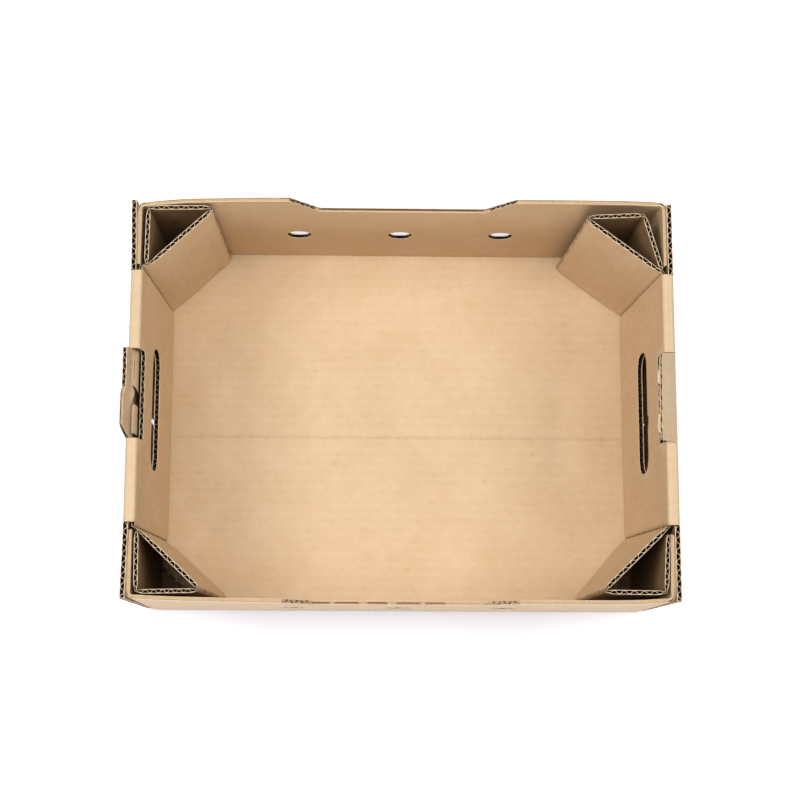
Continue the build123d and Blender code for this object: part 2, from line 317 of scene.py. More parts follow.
class Paper:
    """Points, faces, finishes and flat coordinates of one piece, before it is a mesh."""

    def __init__(self):
        self.points, self.flat, self.faces, self.finish, self.wear_and_shade = [], [], [], [], []
        self.count = 0

    def add(self, points, flat, faces, finish, wear_and_shade=None):
        self.points.append(points)
        self.flat.append(flat)
        self.wear_and_shade.append(np.zeros(len(points)) if wear_and_shade is None else wear_and_shade)
        self.faces += [tuple(int(i) + self.count for i in f) for f in faces]
        self.finish += list(finish)
        self.count += len(points)

    def make(self, name, finishes):
        """The finished mesh object, in metres, with its flat coordinates as a UV map."""
        mesh = bpy.data.meshes.new(name)
        mesh.from_pydata((np.vstack(self.points) * MM).tolist(), [], self.faces)
        mesh.polygons.foreach_set("material_index", self.finish)
        for finish in finishes:
            mesh.materials.append(finish)
        flat = np.vstack(self.flat) * MM
        loops = np.zeros(len(mesh.loops), np.int32)
        mesh.loops.foreach_get("vertex_index", loops)
        mesh.uv_layers.new(name="blank").data.foreach_set("uv", flat[loops].astype(np.float32).ravel())
        shape = bmesh.new()
        shape.from_mesh(mesh)
        bmesh.ops.recalc_face_normals(shape, faces=shape.faces)
        shape.to_mesh(mesh)
        shape.free()
        wear_and_shade = mesh.attributes.new("wear_and_shade", "FLOAT", "POINT")
        wear_and_shade.data.foreach_set("value", np.concatenate(self.wear_and_shade))
        mesh.shade_smooth()
        mesh.set_sharp_from_angle(angle=math.radians(SHARP_ANGLE))
        piece = bpy.data.objects.new(name, mesh)
        bpy.context.scene.collection.objects.link(piece)
        print(f"{name}: {len(mesh.polygons)} faces")
        return piece


# %% [markdown]
# ## Liners
#
# A liner is a flat sheet of paper on each face of the board. It is made as a closed skin
# between two depths, not as a single surface, so that its cut edge shows as a pale line. Its
# wear value says where the surface is broken, and where painted shade darkens it, and the
# finish turns both brown.

# %% Lay the liners
MOST_WEAR_AND_SHADE = 4


# A liner's back takes the dark fluting finish, as painted shade between the plies
def lay_liner(paper, panel, place, side, along, face=KRAFT, wear_and_shade=None, skin=LINER, back=SHADED_FLUTE):
    """One liner of a panel: side 1 is the outer one and -1 the inner one.

    along is the flat coordinate, 0 or 1, that the flutes run along, here and below."""
    flat, triangles, border = panel
    n = len(flat)
    points = np.vstack([place(flat, side * HALF), place(flat, side * (HALF - skin))])
    faces = [tuple(t) for t in triangles]
    faces += [(t[2] + n, t[1] + n, t[0] + n) for t in triangles]
    faces += [(j, i, i + n, j + n) for i, j in border]
    finish = [face] * len(triangles) + [back] * len(triangles) + [CUT] * len(border)
    blank = np.vstack([flat, flat])
    worn = np.zeros(n) if wear_and_shade is None else np.clip(wear_and_shade(flat), 0, MOST_WEAR_AND_SHADE)
    paper.add(points, blank if along == 1 else blank[:, ::-1], faces, finish, np.concatenate([worn, worn]))


def lay_liners(paper, panel, place, along, inner_face=KRAFT, outer_wear_and_shade=None):
    lay_liner(paper, panel, place, 1, along, wear_and_shade=outer_wear_and_shade)
    lay_liner(paper, panel, place, -1, along, inner_face)


def fixed(value):
    """A straight cut at this value."""
    return lambda x: np.full(len(x), float(value))


print(f"liners {LINER} mm thick, {HALF + INNER_HALF:.2f} mm apart over both faces")

# %% [markdown]
# ## Fluting
#
# Between the liners runs a wave of thinner paper. It could be a texture on the edge, but the
# photograph looks into the flutes, so each is a real hollow. The wave is a closed ribbon that
# starts at a cut edge and runs a little way in, far enough that no light reaches its end.

# %% Lay the fluting behind a cut
WAVE_STEPS = 16  # points to a flute
CREST = 1.5  # how much the crests are flattened where they are glued
ROUGH_CUT = 0.12  # how far the cut edge of the fluting lies back, and how far it wanders


def lay_fluting(paper, place, along, start, end, cut, into, depth=OPEN_DEPTH, edge=CUT):
    """The wavy paper behind a cut across the flutes. cut(x) is where the cut is."""
    x = np.arange(start, end + 1e-6, PITCH / WAVE_STEPS)
    wave = np.sin(2 * math.pi * x / PITCH)
    top = HALF - LINER - MEDIUM / 2
    offset = top * np.tanh(CREST * wave) / math.tanh(CREST)
    slope = np.gradient(offset, x)
    lean = np.sqrt(1 + slope**2)
    rim = cut(x) + into * ROUGH_CUT + ripple(x, start, ROUGH_CUT, 5.0)
    flats, levels = [], []
    for way in (1, -1):
        across = x - way * slope / lean * MEDIUM / 2
        for reach in (0.0, depth):
            run = rim + into * reach
            flats.append(np.stack([across, run] if along == 1 else [run, across], 1))
            levels.append(offset + way / lean * MEDIUM / 2)
    n = len(x)
    quads, finish = [], []
    for i in range(n - 1):
        a, b, c, d = i, n + i, 2 * n + i, 3 * n + i
        quads += [(a, a + 1, b + 1, b), (d, d + 1, c + 1, c), (c, c + 1, a + 1, a), (b, b + 1, d + 1, d)]
        finish += [SHADED_FLUTE, SHADED_FLUTE, edge, SHADED_FLUTE]
    for i in (0, n - 1):
        quads.append((i, n + i, 3 * n + i, 2 * n + i))
        finish.append(SHADED_FLUTE)
    flat = np.vstack(flats)
    paper.add(place(flat, np.concatenate(levels)), flat if along == 1 else flat[:, ::-1], quads, finish)


print(f"one flute every {PITCH} mm, {2 * (HALF - LINER):.1f} mm high")

# %% [markdown]
# ## The flank of a flute
#
# Where a cut runs along the flutes, it opens one of them lengthwise, and its sloping side shows
# between the liners. The whole wave behind it would never be seen, so one thin ridge that
# slopes to both liners closes the edge.

# %% Lay a flank
RIDGE_LEVELS = np.linspace(1, -1, 9)  # from the outer liner to the inner one
RIDGE_AT = 0.1  # level of the ridge's top


def lay_flank(paper, place, along, start, end, cut, into, depth=0.9, seed=0.0, gape=None):
    """One flute behind a cut that runs along the flutes: a ridge that slopes to both liners.

    gape(y) is how far, in millimetres, the board has come open behind its outer liner."""
    y = np.linspace(start, end, max(3, int(abs(end - start) / 3) + 1))
    opened = np.zeros(len(y)) if gape is None else gape(y)
    n, m = len(y), len(RIDGE_LEVELS)
    ridge = RIDGE_AT + ripple(y, seed, 0.3, 61.0)
    points, blank = [], []
    for skin in (0.0, MEDIUM):
        for k in RIDGE_LEVELS:
            away = np.abs(k - ridge)
            reach = 0.05 + depth * np.where(k > ridge, 1.0, 0.7) * np.minimum(away, 1.0) ** 0.8
            reach = reach + opened * (-0.1 < k < 0.95)
            run = cut(y) + into * (np.maximum(reach + ripple(y, seed + 2, 0.12, 23.0), 0.04) + skin)
            flat = np.stack([run, y] if along == 1 else [y, run], 1)
            points.append(place(flat, np.full(n, k * (HALF - LINER * 0.9))))
            blank.append(flat if along == 1 else flat[:, ::-1])
    back = m * n  # the second skin's points come after the first one's
    quads = []
    for k in range(m - 1):
        for i in range(n - 1):
            a, b = k * n + i, (k + 1) * n + i
            quads += [(a, a + 1, b + 1, b), (back + b, back + b + 1, back + a + 1, back + a)]
    for i in range(n - 1):
        for k in (0, m - 1):
            a = k * n + i
            quads.append((a, a + 1, a + 1 + back, a + back))
    for k in range(m - 1):
        for i in (0, n - 1):
            a, b = k * n + i, (k + 1) * n + i
            quads.append((a, b, b + back, a + back))
    paper.add(np.vstack(points), np.vstack(blank), quads, [FLANK] * len(quads))


print(f"a flank is {2 * len(RIDGE_LEVELS)} rows of points, {MEDIUM} mm thick")

# %% [markdown]
# ## The base
#
# The base is flat, with a quarter round at each side where the long walls and the end panels
# turn up. Its fluting runs along X. The flat blank once had a fold line off its middle, and a
# faint groove from it still crosses the base. A plane with bevelled borders would do for the
# form, but here two fold paths, one each way, roll the base up until it meets the walls.

# %% Roll up the base
FOOT_BEND = (1.6, 1.6)  # radius and half thickness of its folds
SCORE_Y, SCORE_DEPTH = -8.0, 0.4  # the old fold line
SCORE_FADE = (176, 184)  # distances from the middle over which that line fades out


def across_base(reach, cells):
    """The fold path from one side of the base to the other, walked from its middle."""
    corners = [(-reach, FOOT), (-reach, HALF), (reach, HALF), (reach, FOOT)]
    path = fold_path(corners, [FOOT_BEND] * 2, False, cells=cells)
    fold = path["walked"][-1] / 2 - path["folds"][0]
    path["walked"] -= path["walked"][-1] / 2
    return path, path["walked"][-1], fold


along_x, BASE_U, END_FOLD_U = across_base(OUTER_X, 24)
along_y, BASE_V, WALL_FOLD_V = across_base(WALL_Y, 18)


def base_place(flat, offset):
    u, v = flat[:, 0], flat[:, 1]
    offset = np.broadcast_to(offset, u.shape)
    iu = np.interp(u, along_x["walked"], np.arange(len(along_x["walked"])))
    iv = np.interp(v, along_y["walked"], np.arange(len(along_y["walked"])))
    px, py = at_station(along_x, iu, offset), at_station(along_y, iv, offset)
    flat_level = HALF - pressed(offset)
    beyond = np.abs(u) > FOLD_END + 0.01  # past the end of the long folds
    y = np.where(beyond, v, py[:, 0])
    rise = np.where(beyond, flat_level, py[:, 1])
    z = px[:, 1] + rise - flat_level
    groove = SCORE_DEPTH * swell(v, SCORE_Y, 0.9) * (offset < 0)
    return np.stack([px[:, 0], y, z - groove * (1 - smooth(np.abs(u), *SCORE_FADE))], 1)


print(f"base between its folds: {2 * END_FOLD_U:.0f} by {2 * WALL_FOLD_V:.0f} mm")

# %% [markdown]
# ## Cut the base, and darken it
#
# The two end folds are cut away in their middle, where the tabs of the tray below come up. The
# base is a little darker along its old fold line and along the feet of the long walls, and
# inside the posts painted shade makes it dark. These marks could be painted on a texture. Here
# they are a formula of the place, so they stay sharp.

# %% Base
right_half = [
    (FOLD_END, -BASE_V), (FOLD_END, -END_HALF_WIDTH), (BASE_U, -END_HALF_WIDTH), (BASE_U, NOTCH_Y[0]),
    (NOTCH_X, NOTCH_Y[0]), (NOTCH_X, NOTCH_Y[1]), (BASE_U, NOTCH_Y[1]), (BASE_U, END_HALF_WIDTH),
    (FOLD_END, END_HALF_WIDTH), (FOLD_END, BASE_V),
]
left_half = [(-x, y) for x, y in reversed(right_half)]
base_outline = [left_half[-1], *right_half, *left_half[:-1]]
score_lines = SCORE_Y + np.array([-3.0, -2.0, -1.2, -0.5, 0.0, 0.5, 1.2, 2.0, 3.0])

# The foot of a post's face runs across the corner, from the first X and last Y to the other two
FACE_X, FACE_Y = (136, 187), (95, 142)
# How dark the painted shade on the base inside the posts is
POST_SHADE = 4.0


def base_lines_and_shade(flat):
    """A faint darker line along the old fold line, a darker line along the long walls' feet, and painted
    shade inside the posts.
    """
    u, v = np.abs(flat[:, 0]), np.abs(flat[:, 1])
    old_line = 0.14 * swell(flat[:, 1], SCORE_Y, 1.3) * (1 - smooth(u, *SCORE_FADE))
    feet = 0.55 * swell(v, WALL_FOLD_V, 0.8)
    # 1 at a post's face, and more behind it
    past_face = (u - FACE_X[0]) / (FACE_X[1] - FACE_X[0]) + (v - FACE_Y[0]) / (FACE_Y[1] - FACE_Y[0])
    # Painted shade behind each post's face
    return old_line + feet + POST_SHADE * smooth(past_face, 1.32, 1.6) * (v < 143)


base_lines = np.concatenate([along_y["walked"], score_lines])
base_panel = cut_panel(base_outline, [], along_x["walked"], base_lines)
body = Paper()
lay_liner(body, base_panel, base_place, 1, along=0)
lay_liner(body, base_panel, base_place, -1, along=0, wear_and_shade=base_lines_and_shade)
for end in (-1, 1):
    lay_fluting(body, base_place, 0, NOTCH_Y[0] + 1, NOTCH_Y[1] - 1, fixed(end * NOTCH_X), -end)
    for side in (-1, 1):
        fold_corner = (end * (FOLD_END + 0.2), end * BASE_U)
        lay_flank(body, base_place, 0, *fold_corner, fixed(side * END_HALF_WIDTH), -side, 0.6)
print(f"base: {2 * BASE_U:.0f} by {2 * BASE_V:.0f} mm of flat board, {body.count} points")

# %% [markdown]
# ## Long walls and their end flaps
#
# Each long wall is one strip with its two end flaps, which fold in behind the end panels and
# carry the load when trays are stacked. A box with bent corners would be too regular: use has
# bowed the top edges out and pushed each corner its own way. So the strip runs between a path
# at its foot, which is straight, and a path at its top, which isn't.

# %% Paths of the long walls
FOOT_RADIUS = 2.4
CORNER_HALF = 1.6  # half thickness in the corner folds
# For each corner: bend radius at the top, and the flap's X at its fold and its free edge's X and Y
CORNERS = {
    (-1, 1): (4.0, 194.6, 194.7, 97.5),
    (1, 1): (3.2, 194.4, 194.9, 99.5),
    (-1, -1): (3.2, 194.7, 194.9, 97.5),
    (1, -1): (3.6, 193.6, 194.9, 99.0),
}
# How far the top edge stands out, at these distances from the middle of the wall
BOW_AT = [0, 88, 122, 143, 164, 182, 191, 215]
BOW = {
    (-1, 1): [1.15, 1.1, 0.7, 0.0, -0.5, -2.2, -3.4, 0.0],
    (1, 1): [1.15, 1.15, 1.15, 1.15, 1.0, 0.7, 0.0, 0.0],
    (-1, -1): [1.15, 1.1, 0.8, 0.4, 0.0, -0.6, -1.3, 0.0],
    (1, -1): [1.15, 1.15, 1.15, 1.15, 1.0, 0.4, -0.5, 0.0],
}


def wall_path(side, top):
    """A long wall and its flaps in plan, at their foot or their top, walked from the middle."""
    left_radius, left_x, left_free_x, left_free_y = CORNERS[-1, side]
    right_radius, right_x, right_free_x, right_free_y = CORNERS[1, side]
    if not top:
        left_radius = right_radius = FOOT_RADIUS
        left_x = left_free_x = right_x = right_free_x = FLAP_X
    corners = [
        (-left_free_x, left_free_y), (-left_x, WALL_Y),
        (right_x, WALL_Y), (right_free_x, right_free_y),
    ]
    bends = [(left_radius, CORNER_HALF), (right_radius, CORNER_HALF)]
    path = fold_path(corners, bends, True, cells=30)
    # The free ends are left out, where X may turn back
    path["walked"] -= np.interp(0.0, path["place"][5:-5, 0], path["walked"][5:-5])
    return path


def wall_maker(side):
    foot, top = wall_path(side, False), wall_path(side, True)

    def place(flat, offset):
        walked, z = flat[:, 0], flat[:, 1]
        plan = between(foot, top, FOOT, WALL_HEIGHT, walked, z, np.broadcast_to(offset, walked.shape))
        height = np.clip((z - FOOT) / (WALL_HEIGHT - FOOT), 0, 1)
        left_bow, right_bow = (np.interp(end * walked, BOW_AT, BOW[end, side]) for end in (-1, 1))
        bow = np.where(walked < 0, left_bow, right_bow)
        return np.stack([plan[:, 0], side * (plan[:, 1] + bow * height**1.5), z], 1)

    return place, foot


for side in (-1, 1):
    walked = wall_path(side, True)["walked"]
    print(f"long wall {side:+d} with its flaps: {walked[-1] - walked[0]:.0f} mm")

# %% [markdown]
# ## The dips in the long walls
#
# The die gave each top edge a dip with soft bends. Its floor runs along the flutes and has come
# open behind the outer liner. Its slants cross the flutes at an angle, and there the die crushed
# them. A texture of dark teeth would look the same from afar, but not along the edge.

# %% Shape of the dips and vents
DIP_TOP, DIP_FLOOR, DIP_DEPTH = 170.0, 126.0, 24.5
DIP_BROW, DIP_TOE = 3.0, 6.0  # rounding of the dip's upper and lower corners
DIP_Z = WALL_HEIGHT - DIP_DEPTH
CRUSHED_DEPTH = {1: 1.8, -1: 0.8}  # how deep the slanting flutes are still open, back and front
GAPE, GAPE_LENGTH = 5.0, 22.0  # how far the floor has come open, and how long one gap is
# The floor is open all along at the back, and at the front in gaps over its left part
DIP_GAPE = {
    1: lambda x: GAPE * (np.abs(x) < 61),
    -1: lambda x: GAPE * ((x > -66) & (x < 32) & (np.sin(2 * math.pi * (x + 66) / GAPE_LENGTH) > -0.45)),
}

slant_corners = [(-120, WALL_HEIGHT), (-DIP_TOP / 2, WALL_HEIGHT), (-DIP_FLOOR / 2, DIP_Z), (0, DIP_Z)]
slant = rounded(slant_corners, [0, DIP_BROW, DIP_TOE, 0])[1:-1]
dip_line = np.vstack([slant, (slant * [-1, 1])[::-1]])
rising = slant[np.argsort(slant[:, 1])]


def slant_x(z):
    """How far from the middle the dip's edge is at height z."""
    return -np.interp(z, rising[:, 1], rising[:, 0])


def vent_edge(x, way):
    """The rim of the vent at x, on the side that way names, as a cut across the flutes."""
    return lambda z: x + way * np.sqrt(np.maximum(VENT_R**2 - (z - VENT_Z) ** 2, 0))


vent_angles = np.linspace(0, 2 * math.pi, 33)[:-1]
vent_rim = VENT_R * np.stack([np.cos(vent_angles), np.sin(vent_angles)], 1)
vents = [np.array((x, VENT_Z)) + vent_rim for x in VENTS]
print(f"each long wall: a dip {DIP_TOP:.0f} mm long and {DIP_DEPTH} mm deep, {len(vents)} vents")

# %% Long walls
for side in (-1, 1):
    place, path = wall_maker(side)
    low, high = path["walked"][0], path["walked"][-1]
    outline = [(low, FOOT), (high, FOOT), (high, WALL_HEIGHT), *dip_line[::-1], (low, WALL_HEIGHT)]
    levels = np.linspace(FOOT, WALL_HEIGHT, 12)[1:-1]
    lay_liners(body, cut_panel(outline, vents, path["walked"], levels), place, along=0)
    lay_fluting(body, place, 0, FOOT + 0.5, WALL_HEIGHT - 0.5, fixed(low), 1)
    lay_fluting(body, place, 0, FOOT + 0.5, WALL_HEIGHT - 0.5, fixed(high), -1)
    for x in VENTS:
        for way in (-1, 1):
            vent_z = (VENT_Z - VENT_R + 0.3, VENT_Z + VENT_R - 0.3)
            lay_fluting(body, place, 0, *vent_z, vent_edge(x, way), way, 5.0)
    for way in (-1, 1):
        slant_z = (DIP_Z + 0.4, WALL_HEIGHT - 0.4)
        lay_fluting(body, place, 0, *slant_z, lambda z: way * slant_x(z), way)
        # A flank stands across the crushed flutes and closes them not far in
        lay_flank(body, place, 1, *slant_z, lambda z: way * (CRUSHED_DEPTH[side] + slant_x(z)), way)
        # The raw top edge begins a little inside the end of the dip's upper corner
        top_x = (way * (-slant[0, 0] - 1), (high if way > 0 else low) - way * 0.5)
        lay_flank(body, place, 0, *top_x, fixed(WALL_HEIGHT), -1, 0.8, side + way)
    floor_x = (slant[-1, 0] - 6, -slant[-1, 0] + 6)
    floor_edge = lambda x: np.interp(x, dip_line[:, 0], dip_line[:, 1])
    lay_flank(body, place, 0, *floor_x, floor_edge, -1, 0.9, side, DIP_GAPE[side])
print(f"base and long walls: {body.count} points")

# %% [markdown]
# ## End walls
#
# An end wall is double. The outer panel stands up from the base. Between its shoulders the
# board rolls over the top as a narrow rim and comes down again inside as the inner panel. One
# solid wall of double thickness would hide the gap between the plies, so each is made by
# itself. Both are cut by the hand slot, whose ends are round, and the outer one by the notch.

# %% Hand slots
SLOT_OPEN = (SLOT_Y - SLOT_HALF + 1.5, SLOT_Y + SLOT_HALF - 1.5)  # where flutes show in its cuts


def slot_edge(y, way):
    """Height above the slot's middle at which its upper or lower cut runs at y."""
    past = np.maximum(np.abs(y - SLOT_Y) - (SLOT_HALF - SLOT_ROUND), 0)
    return way * (SLOT_RISE - SLOT_ROUND + np.sqrt(np.maximum(SLOT_ROUND**2 - past**2, 0)))


def slot_loop(turn, nick=None):
    """The hand slot as a closed loop of (y, height), passed through turn.

    nick is a torn bite out of its upper cut: its two ends in y, and its height."""
    y = SLOT_Y + SLOT_HALF * np.sin(np.linspace(-math.pi / 2, math.pi / 2, 41))
    lower = np.stack([y, SLOT_Z + slot_edge(y, -1)], 1)
    upper = np.stack([y, SLOT_Z + slot_edge(y, 1)], 1)[::-1]
    if nick:
        low, high, rise = nick
        top = SLOT_Z + SLOT_RISE
        bite = [(high, top), (high - 0.8, top + rise), (low + 1.2, top + 0.9 * rise), (low, top)]
        upper = np.vstack([upper[upper[:, 0] > high], bite, upper[upper[:, 0] < low]])
    return np.array([turn(*p) for p in np.vstack([lower, upper])])


print(f"hand slots: {2 * SLOT_HALF:.0f} by {2 * SLOT_RISE:.0f} mm, {SLOT_Z:.0f} mm up")

# %% Outer end panels
FLARE = {(-1, 1): 1.0, (-1, -1): 0.9, (1, 1): 0.0, (1, -1): 0.0}  # how far the top corners spread
STEP_Y = RIM_HALF + 0.5  # where a shoulder ends beside the rim


def outer_maker(end):
    def place(flat, offset):
        y, z = flat[:, 0], flat[:, 1]
        most = np.where(y > 0, FLARE[end, 1], FLARE[end, -1])
        spread = most * smooth(np.abs(y), 95, 147) * smooth(z, 20, SHOULDER)
        x = OUTER_X + spread + np.broadcast_to(offset, y.shape)
        return np.stack([end * x, y, z], 1)

    return place


relief = [(RELIEF_HALF, NOTCH_TOP), (RELIEF_HALF, RELIEF_TOP - 2.5), (1.8, RELIEF_TOP - 0.5)]
outer_outline = [
    (-END_HALF_WIDTH, FOOT), (NOTCH_Y[0], FOOT), (NOTCH_Y[0], NOTCH_TOP), *((-y, z) for y, z in relief),
    (0, RELIEF_TOP), *reversed(relief), (NOTCH_Y[1], NOTCH_TOP), (NOTCH_Y[1], FOOT),
    (END_HALF_WIDTH, FOOT), (END_HALF_WIDTH, SHOULDER), (STEP_Y, SHOULDER), (STEP_Y, POST_HEIGHT),
    (-STEP_Y, POST_HEIGHT), (-STEP_Y, SHOULDER), (-END_HALF_WIDTH, SHOULDER),
]
outer_panel = cut_panel(
    outer_outline, [slot_loop(lambda y, z: (y, z))],
    np.linspace(-END_HALF_WIDTH, END_HALF_WIDTH, 26)[1:-1], np.linspace(FOOT, POST_HEIGHT, 14)[1:],
)
ends = {-1: Paper(), 1: Paper()}
for end, paper in ends.items():
    place = outer_maker(end)
    lay_liners(paper, outer_panel, place, along=1, inner_face=SHADED_INSIDE_LINER)
    for side in (-1, 1):
        shoulder = sorted((side * (RIM_HALF + 1.0), side * (END_HALF_WIDTH - 0.3)))
        lay_fluting(paper, place, 1, *shoulder, fixed(SHOULDER), -1)
        lay_flank(paper, place, 1, FOOT, SHOULDER - 0.3, fixed(side * END_HALF_WIDTH), -side, 1.0, side)
    for way in (-1, 1):
        lay_fluting(paper, place, 1, *SLOT_OPEN, lambda y: SLOT_Z + slot_edge(y, way), way)
    for low, high in ((NOTCH_Y[0], -RELIEF_HALF), (RELIEF_HALF, NOTCH_Y[1])):
        lay_fluting(paper, place, 1, low + 0.4, high - 0.4, fixed(NOTCH_TOP), 1)
print(f"outer end panel: {len(outer_panel[1])} triangles a liner")

# %% [markdown]
# ## Rims and inner end panels
#
# The rolled part of an end wall is one strip whose path runs up, over and down. Its flutes run
# with the path, so every cut across the tray shows open flutes. A curve with a bevel could
# sweep it, but the strip also has a slot, and a cut-out where its tab was punched. So it is cut
# flat like the other panels and then rolled. The inner panel leans in towards its foot.

# %% Roll the rims
RIM_BENDS = [(1.0, 1.7), (0.3, 2.3)]  # radius and half thickness of the outer and the inner fold
RIM_Z = END_HEIGHT - HALF
UNPRESSED = HALF - INNER_HALF
CUT_LEAN = 2.0  # how far the cut edge under a tab leans into the tray


def inner_x(z):
    """Middle of the inner panel at height z."""
    return INNER_RIM_X - INNER_LEAN * (END_HEIGHT - BOARD - z) / (END_HEIGHT - BOARD - FOOT)


rim_corners = [(OUTER_X, POST_HEIGHT), (OUTER_X, RIM_Z), (INNER_RIM_X, RIM_Z), (inner_x(FOOT), FOOT)]
rim_path = fold_path(rim_corners, RIM_BENDS, False, cells=10)
RIM_WALK = rim_path["walked"][-1]


def inner_walk(z):
    """Distance along the rolled strip at which the inner panel, its last 18 stations, is at height z."""
    return np.interp(-np.asarray(z, float), -rim_path["place"][-18:, 1], rim_path["walked"][-18:])


def rim_maker(end):
    def place(flat, offset):
        walked, y = flat[:, 0], flat[:, 1]
        index = np.interp(walked, rim_path["walked"], np.arange(len(rim_path["walked"])))
        offset = np.broadcast_to(offset, walked.shape)
        p = at_station(rim_path, index, offset)
        x, z = p[:, 0], p[:, 1]
        # Low down the board is unpressed, and beside the tab's cut-out it leans into the tray
        x = x + UNPRESSED * (1 - smooth(z, 105, 140)) * (offset < 0) * (walked > RIM_WALK / 2)
        lean = smooth(z, 118, 141) * (1 - smooth(z, 143, 153)) * (1 - smooth(np.abs(y - SLOT_Y), 33, 46))
        return np.stack([end * (x - CUT_LEAN * lean), y, z], 1)

    return place


print(f"rim and inner panel unroll to {RIM_WALK:.0f} mm")

# %% Rims and inner end panels
SLOT_NICK = {-1: None, 1: (-12.0, -3.5, 3.0)}  # a bite is torn out of the right slot
SHADED_SLOT_EDGE = {-1: SHADED_INSIDE_LINER, 1: SHADED_FLUTE}  # the cut faces in the slots are painted darker, as painted shade
POST_START = 86.5  # where the meshes of an inner panel and its posts meet, on one flat face

over, down, tab_floor = (float(inner_walk(z)) for z in (POST_HEIGHT, FOOT, TAB_CUT))
rim_outline = [
    (0, -RIM_HALF), (over, -RIM_HALF), (over, -POST_START), (down, -POST_START),
    (down, POST_START), (over, POST_START), (over, RIM_HALF), (0, RIM_HALF),
    (0, TAB_Y[1]), (tab_floor - 5, TAB_Y[1]), (tab_floor - 1.5, TAB_Y[1] - 1), (tab_floor, TAB_Y[1] - 4.5),
    (tab_floor, TAB_Y[0]), (0, TAB_Y[0]),
]
rim_rows = np.concatenate([np.linspace(-RIM_HALF, RIM_HALF, 20)[1:-1], [-POST_START, POST_START]])
for end, paper in ends.items():
    place = rim_maker(end)
    slot = slot_loop(lambda y, z: (float(inner_walk(z)), y), SLOT_NICK[end])
    panel = cut_panel(rim_outline, [slot], rim_path["walked"], rim_rows)
    lay_liners(paper, panel, place, along=0, inner_face=SHADED_INSIDE_LINER)
    lay_fluting(paper, place, 0, TAB_Y[0] + 0.4, TAB_Y[1] - 2.5, fixed(tab_floor), 1)
    for way in (-1, 1):
        slot_cut = lambda y: inner_walk(SLOT_Z + slot_edge(y, way))
        lay_fluting(paper, place, 0, *SLOT_OPEN, slot_cut, -way, edge=SHADED_SLOT_EDGE[end])
        lay_flank(paper, place, 0, 0.3, over - 0.3, fixed(way * RIM_HALF), -way, 1.2, way)
        tab_edge = TAB_Y[1] if way > 0 else TAB_Y[0]
        lay_flank(paper, place, 0, 0.3, tab_floor - 3, fixed(tab_edge), way, 1.2, way + 3)
    print(f"end wall {end:+d}: {paper.count} points")

# %% [markdown]
# ## Stacking tabs
#
# A tab is a tongue of the outer panel that stands above the rim and enters the notch of the
# tray above. Handling has bent them: the left one leans out, most over its front half, and is
# creased in its middle, and the right one is folded in over the rim. Posing a stiff tab with an
# armature would bend it evenly. Both grow from a crushed root line, so each is the outer
# panel's path with a lean that varies along it.

# %% How the tabs are bent
# The Y of each side at its root and at its top, for the front and the back side
TAB_SIDES = {-1: ((-32.0, -25.5), (34.0, 31.7)), 1: ((-32.5, -32.5), (33.4, 30.8))}
ROOT = TAB_ROOT - POST_HEIGHT  # a tab's board starts at the posts' height, this far below its root
CREASE = {-1: 2.2, 1: 0.8}  # how deep each root line is crushed
BULGE = -2.8  # the left tab's middle is pushed in
LEFT_LEAN, FRONT_LEAN = 3.6, 4.5  # degrees: the left tab's, and how much more in front
RIGHT_LEAN, BACK_LEAN = -42.0, 3.0  # degrees: the right tab's, and how much less at the back


def tab_lean(end, y):
    if end > 0:
        return np.radians(RIGHT_LEAN + BACK_LEAN * smooth(y, -30, 30))
    return np.radians(LEFT_LEAN + FRONT_LEAN * (1 - smooth(y, -3.5, 2.5)))


def left_crease(past_root, y):
    """How deep the left tab's root crease is, from 0 to 1. In front, where it leans, it gapes."""
    wide = 0.45 + 1.1 * (1 - smooth(y, -8, -2))
    return swell(past_root, -0.3, wide) * (1 - 0.9 * swell(y, 2.5, 5.0))


def torn_fringe(y):
    """How far the right tab's inner liner stands out past its outer one: two torn strips."""
    back_strip = 1.3 * smooth(y, 8, 9) * (1 - smooth(y, 15, 20.5))
    front_strip = 1.0 * smooth(y, -27, -26) * (1 - smooth(y, -17, -12))
    return 0.3 + (back_strip + front_strip) + ripple(y, 2, 0.45, 4.0)


def tab_maker(end):
    def place(flat, offset):
        walked, y = flat[:, 0], flat[:, 1]
        offset = np.broadcast_to(offset, walked.shape)
        inward = offset < 0
        lean = tab_lean(end, y) * smooth(walked, ROOT - 1.0, ROOT + 1.6)
        up = np.maximum(walked - ROOT, 0)
        near_root = swell(walked, ROOT, 0.8)
        crush = 1 - 0.35 * near_root
        if end < 0:
            groove = left_crease(walked - ROOT, y)
            # Behind the bulge the board is crushed from inside, just above the root
            sunk = 1.4 * smooth(y, 3, 8) * smooth(up, 0, 0.8) * (1 - smooth(up, 2, 7))
            bulge = BULGE * swell(y, 1.0, 6.5) * swell(walked - ROOT, 1.5, 4.0)
            thin = 1 - 0.25 * smooth(up, 8, 19) * (1 - smooth(y, -4, 4))
        else:
            groove = near_root
            # Torn strips of the inner liner curl away from the board
            sunk = -1.3 * smooth(up, TAB_HEIGHT, TAB_HEIGHT + 2)
            bulge = 0.25 * ripple(y, 5, 1.0, 21.0) * smooth(up, 8, 19)
            thin = 1 - 0.35 * smooth(up, 8, 18)
        depth = pressed(offset) * crush * thin + (CREASE[end] * groove + sunk) * inward
        x = OUTER_X + np.sin(lean) * up + np.cos(lean) * depth + bulge
        z = POST_HEIGHT + np.minimum(walked, ROOT) + np.cos(lean) * up - np.sin(lean) * depth
        return np.stack([end * x, y, z], 1)

    return place


for end in (-1, 1):
    print(f"tab {end:+d} leans {math.degrees(tab_lean(end, 20.0)):.0f} degrees out at its back")

